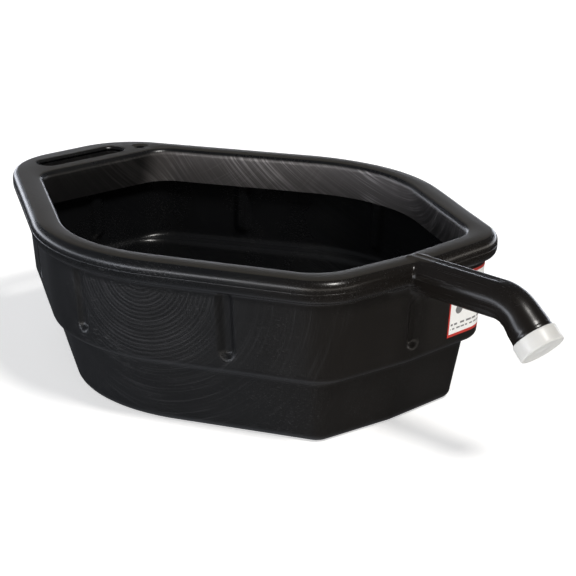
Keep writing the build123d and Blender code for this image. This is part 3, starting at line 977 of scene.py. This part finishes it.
def black_polyethylene():
    """Black blow-moulded polyethylene: soft sheen, fine grain, arcs, scratches and worn edges, with a painted
    sheen on the rim's top and the inner skirt and painted warm light towards the spout.
    """
    recipe = Recipe(bpy.data.materials.new("black_polyethylene"))
    height = axis_of(recipe, "Z")
    inner, outer = facing_in_and_out(recipe)
    near_wall = product(recipe, outer, recipe.band(height, 0.122, 0.130, 1.0, 0.0))
    masks = coat_masks(recipe, height, inner, near_wall)
    clouds = recipe.noise(recipe.place(), 9.0, 3.0, 0.55)
    tone = recipe.blend(clouds, (0.0040, 0.0044, 0.0054, 1.0), (0.0078, 0.0081, 0.0088, 1.0))
    # Painted warm light: the tone turns warmer towards the spout end, for the warm key light from that side.
    tone = recipe.blend(recipe.band(axis_of(recipe, "X"), 0.14, 0.27), tone, (0.0085, 0.0070, 0.0060, 1.0))
    rough = recipe.band(clouds, 0.3, 0.7, 0.23, 0.29)
    rough = total(recipe, rough, product(recipe, near_wall, 0.11))
    for name, strength, colour, roughness in COATS:
        tone = recipe.blend(recipe.math("MULTIPLY", masks[name], strength, True), tone, colour)
        if roughness:
            rough = recipe.math("ADD", rough, product(recipe, masks[name], roughness), True)
    recipe.set(recipe.shader, "Base Color", tone)
    recipe.set(recipe.shader, "Roughness", rough)
    recipe.set(recipe.shader, "Normal", moulded_surface(recipe, masks))
    recipe.shader.inputs["IOR"].default_value = 1.5
    recipe.shader.inputs["Specular IOR Level"].default_value = 0.45
    return recipe.owner


def white_polypropylene():
    recipe = Recipe(bpy.data.materials.new("white_polypropylene"))
    shader = recipe.shader
    clouds = recipe.noise(recipe.place(), 60.0, 3.0)
    grain = recipe.noise(recipe.place(), 1800.0, 3.0)
    scuffs = streaks(recipe, (0.4, 0.2, 0.9), (60.0, 1500.0, 1500.0), 0.62, 0.7)
    tone = recipe.blend(clouds, (0.70, 0.70, 0.685, 1.0), (0.65, 0.65, 0.63, 1.0))
    tone = recipe.blend(recipe.math("MULTIPLY", scuffs, 0.25, True), tone, (0.60, 0.59, 0.56, 1.0))
    recipe.set(shader, "Base Color", tone)
    rough = total(recipe, recipe.band(clouds, 0.3, 0.7, 0.30, 0.40), product(recipe, scuffs, 0.15))
    recipe.set(shader, "Roughness", rough)
    recipe.set(shader, "Normal", recipe.bump(grain, 0.2, 0.00006, recipe.bump(clouds, 0.15, 0.0004)))
    shader.inputs["Subsurface Weight"].default_value = 0.12
    shader.inputs["Subsurface Radius"].default_value = (0.004, 0.004, 0.0035)
    return recipe.owner


def liner_foam():
    recipe = Recipe(bpy.data.materials.new("liner_foam"))
    cells = recipe.node("TexVoronoi", Vector=recipe.place(), Scale=1400.0).outputs["Distance"]
    clouds = recipe.noise(recipe.place(), 120.0, 3.0)
    tone = recipe.blend(clouds, (0.86, 0.86, 0.83, 1.0), (0.78, 0.78, 0.75, 1.0))
    recipe.set(recipe.shader, "Base Color", tone)
    recipe.set(recipe.shader, "Roughness", recipe.band(clouds, 0.3, 0.7, 0.75, 0.9))
    recipe.set(recipe.shader, "Normal", recipe.bump(cells, 0.5, 0.0002))
    return recipe.owner


def inside_box(recipe, u, v, low, high, soft=0.00012):
    """1 inside a rectangle of the label, 0 outside."""
    sides = []
    for axis, near, far in ((u, low[0], high[0]), (v, low[1], high[1])):
        sides.append(recipe.band(axis, near - soft, near + soft))
        sides.append(recipe.band(axis, far - soft, far + soft, 1.0, 0.0))
    return product(recipe, *sides)


def word_bars(recipe, u, v, low, high, word, seed):
    """A row of plain bars of uneven length, where print would be."""
    cell = recipe.math("ADD", recipe.math("DIVIDE", u, word), seed)
    part = recipe.math("FRACT", cell)
    chance = recipe.node("TexWhiteNoise", {"noise_dimensions": "1D"}, W=recipe.math("FLOOR", cell))
    length = total(recipe, product(recipe, chance.outputs["Value"], 0.35), 0.5)
    shown = recipe.math("LESS_THAN", part, length)
    return product(recipe, shown, inside_box(recipe, u, v, low, high))


def drop_mark(recipe, u, v, centre, size):
    """A plain oil drop: a circle that draws in to a point above."""
    x = recipe.math("DIVIDE", recipe.math("SUBTRACT", u, centre[0]), size)
    y = recipe.math("DIVIDE", recipe.math("SUBTRACT", v, centre[1]), size)
    x = recipe.math("DIVIDE", x, recipe.band(y, -0.2, 2.0, 1.0, 0.05))
    y = recipe.math("DIVIDE", y, recipe.band(y, -0.2, 2.0, 1.0, 2.0))
    far = recipe.math("SQRT", total(recipe, product(recipe, x, x), product(recipe, y, y)))
    return recipe.band(far, 0.95, 1.05, 1.0, 0.0)


def label_film(width, height):
    """White film with a red border, a drop pictogram and grey bars in place of print."""
    recipe = Recipe(bpy.data.materials.new("label_film"))
    where = recipe.node("UVMap", {"uv_map": "label_map"}).outputs["UV"]
    split = recipe.node("SeparateXYZ", Vector=where)
    u, v = split.outputs["X"], split.outputs["Y"]
    width, height = width * MM, height * MM
    edge = 0.0017
    field = inside_box(recipe, u, v, (edge, edge * 1.5), (width - edge, height - edge * 1.5))
    fibre = recipe.noise(recipe.place(), 700.0, 3.0)
    paper = recipe.blend(fibre, (0.86, 0.86, 0.84, 1.0), (0.80, 0.80, 0.78, 1.0))
    tone = recipe.blend(field, (0.50, 0.030, 0.020, 1.0), paper)
    rows = [(0.0062, 0.0076, 0.0058, 0.0), (0.0100, 0.0118, 0.0080, 3.0), (0.0440, 0.0480, 0.0090, 7.0)]
    ink = drop_mark(recipe, u, v, (0.013, 0.0245), 0.0048)
    ink = recipe.math("MAXIMUM", ink, drop_mark(recipe, u, v, (width * 0.72, 0.030), 0.0065))
    for low, high, word, seed in rows:
        bars = word_bars(recipe, u, v, (0.0035, low), (width - 0.004, high), word, seed)
        ink = recipe.math("MAXIMUM", ink, bars)
    tone = recipe.blend(recipe.math("MULTIPLY", ink, 0.9), tone, (0.10, 0.10, 0.105, 1.0))
    recipe.set(recipe.shader, "Base Color", tone)
    recipe.set(recipe.shader, "Roughness", recipe.band(fibre, 0.3, 0.7, 0.34, 0.46))
    wrinkles = recipe.noise(recipe.place(scale=(1, 1, 0.4)), 55.0, 2.0)
    recipe.set(recipe.shader, "Normal", recipe.bump(fibre, 0.15, 0.0001, recipe.bump(wrinkles, 0.3, 0.0006)))
    return recipe.owner


def pale_floor():
    recipe = Recipe(bpy.data.materials.new("pale_floor"))
    clouds = recipe.noise(recipe.place(), 3.0, 3.0)
    tone = recipe.blend(clouds, (0.90, 0.90, 0.90, 1.0), (0.87, 0.87, 0.87, 1.0))
    recipe.set(recipe.shader, "Base Color", tone)
    recipe.shader.inputs["Emission Color"].default_value = (1.0, 1.0, 1.0, 1.0)
    recipe.shader.inputs["Emission Strength"].default_value = 0.55
    recipe.shader.inputs["Roughness"].default_value = 0.75
    recipe.shader.inputs["Specular IOR Level"].default_value = 0.2
    return recipe.owner


# ---------------------------------------------------------------- stage


def add_camera():
    data = bpy.data.cameras.new("camera")
    data.lens = 122.68
    data.sensor_width = 36.0
    camera = bpy.data.objects.new("camera", data)
    bpy.context.scene.collection.objects.link(camera)
    camera.location = (1.29784, -1.10450, 0.62932)
    aim = Vector((0.06776, 0.01467, 0.080))
    camera.rotation_mode = "QUATERNION"
    camera.rotation_quaternion = (aim - camera.location).to_track_quat("-Z", "Y")
    bpy.context.scene.camera = camera


def add_floor():
    """A pale floor that lights the pan but isn't mirrored in it."""
    reach = 9000.0
    corners = [(-reach, -reach, 0.0), (reach, -reach, 0.0), (reach, reach, 0.0), (-reach, reach, 0.0)]
    floor = new_object("floor", corners, [(0, 1, 2, 3)])
    floor.data.materials.append(pale_floor())
    floor.visible_glossy = False


def add_softbox(name, direction, strength, spread_degrees, colour):
    """A far-off softbox, as wide as it looks from the pan, shining from a direction."""
    data = bpy.data.lights.new(name, "SUN")
    data.energy = strength
    data.angle = math.radians(spread_degrees)
    data.color = colour
    light = bpy.data.objects.new(name, data)
    bpy.context.scene.collection.objects.link(light)
    light.rotation_mode = "QUATERNION"
    light.rotation_quaternion = Vector(direction).to_track_quat("Z", "Y")
    return light


def add_world():
    """A dim studio with a bright band low all round, warmer to the right, and a panel by the near wall."""
    world = bpy.data.worlds.new("studio")
    recipe = Recipe(world, "Background")
    direction = recipe.node("TexCoord").outputs["Generated"]
    split = recipe.node("SeparateXYZ", Vector=direction)
    height = recipe.node("MapRange", Value=split.outputs["Z"])
    height.inputs["From Min"].default_value = -1.0
    ramp = recipe.node("ValToRGB", Fac=height.outputs["Result"])
    elements = ramp.color_ramp.elements
    elements.remove(elements[1])
    elements[0].color = (STUDIO_BELOW, STUDIO_BELOW, STUDIO_BELOW, 1.0)
    for place, value in STUDIO_STOPS:
        elements.new(place).color = (value, value, value, 1.0)
    tint = recipe.blend(recipe.band(split.outputs["X"], 0.5, -0.3), WARM_SIDE, COOL_SIDE)
    panel = recipe.node("VectorMath", {"operation": "DOT_PRODUCT"}, i0=direction, i1=PANEL_DIRECTION)
    lift = recipe.band(panel.outputs["Value"], 0.80, 0.97, 1.0, 2.4)
    tinted = recipe.node("VectorMath", {"operation": "MULTIPLY"}, i0=ramp.outputs["Color"], i1=tint)
    lifted = recipe.node("VectorMath", {"operation": "SCALE"}, i0=tinted.outputs[0], Scale=lift)
    recipe.set(recipe.shader, "Color", lifted.outputs[0])
    recipe.shader.inputs["Strength"].default_value = STUDIO_STRENGTH
    bpy.context.scene.world = world


def add_lights():
    add_world()
    add_softbox("overhead", (0.545, 0.0, 0.837), 1.9, 14.0, (1.0, 0.975, 0.94))
    fill = add_softbox("front_fill", (-0.25, -0.80, 0.60), 0.75, 100.0, (0.95, 0.97, 1.0))
    fill.visible_glossy = False
    bpy.context.scene.view_settings.view_transform = "Standard"


# ---------------------------------------------------------------- scene


def dress(piece, body, nodes, material):
    """Puts a finished piece in place of its CAD nodes."""
    piece.data.materials.clear()
    piece.data.materials.append(material)
    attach(piece, body)
    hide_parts(*nodes)


def main():
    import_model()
    add_camera()
    add_floor()
    add_lights()
    dress(pan_body(), "pan", ("pan_body", "spout"), black_polyethylene())
    dress(screw_cap(), "cap", ("screw_cap",), white_polypropylene())
    dress(cap_liner(), "liner", ("cap_liner",), liner_foam())
    label, width, height = label_sheet()
    dress(label, "pan", ("label",), label_film(width, height))


main()
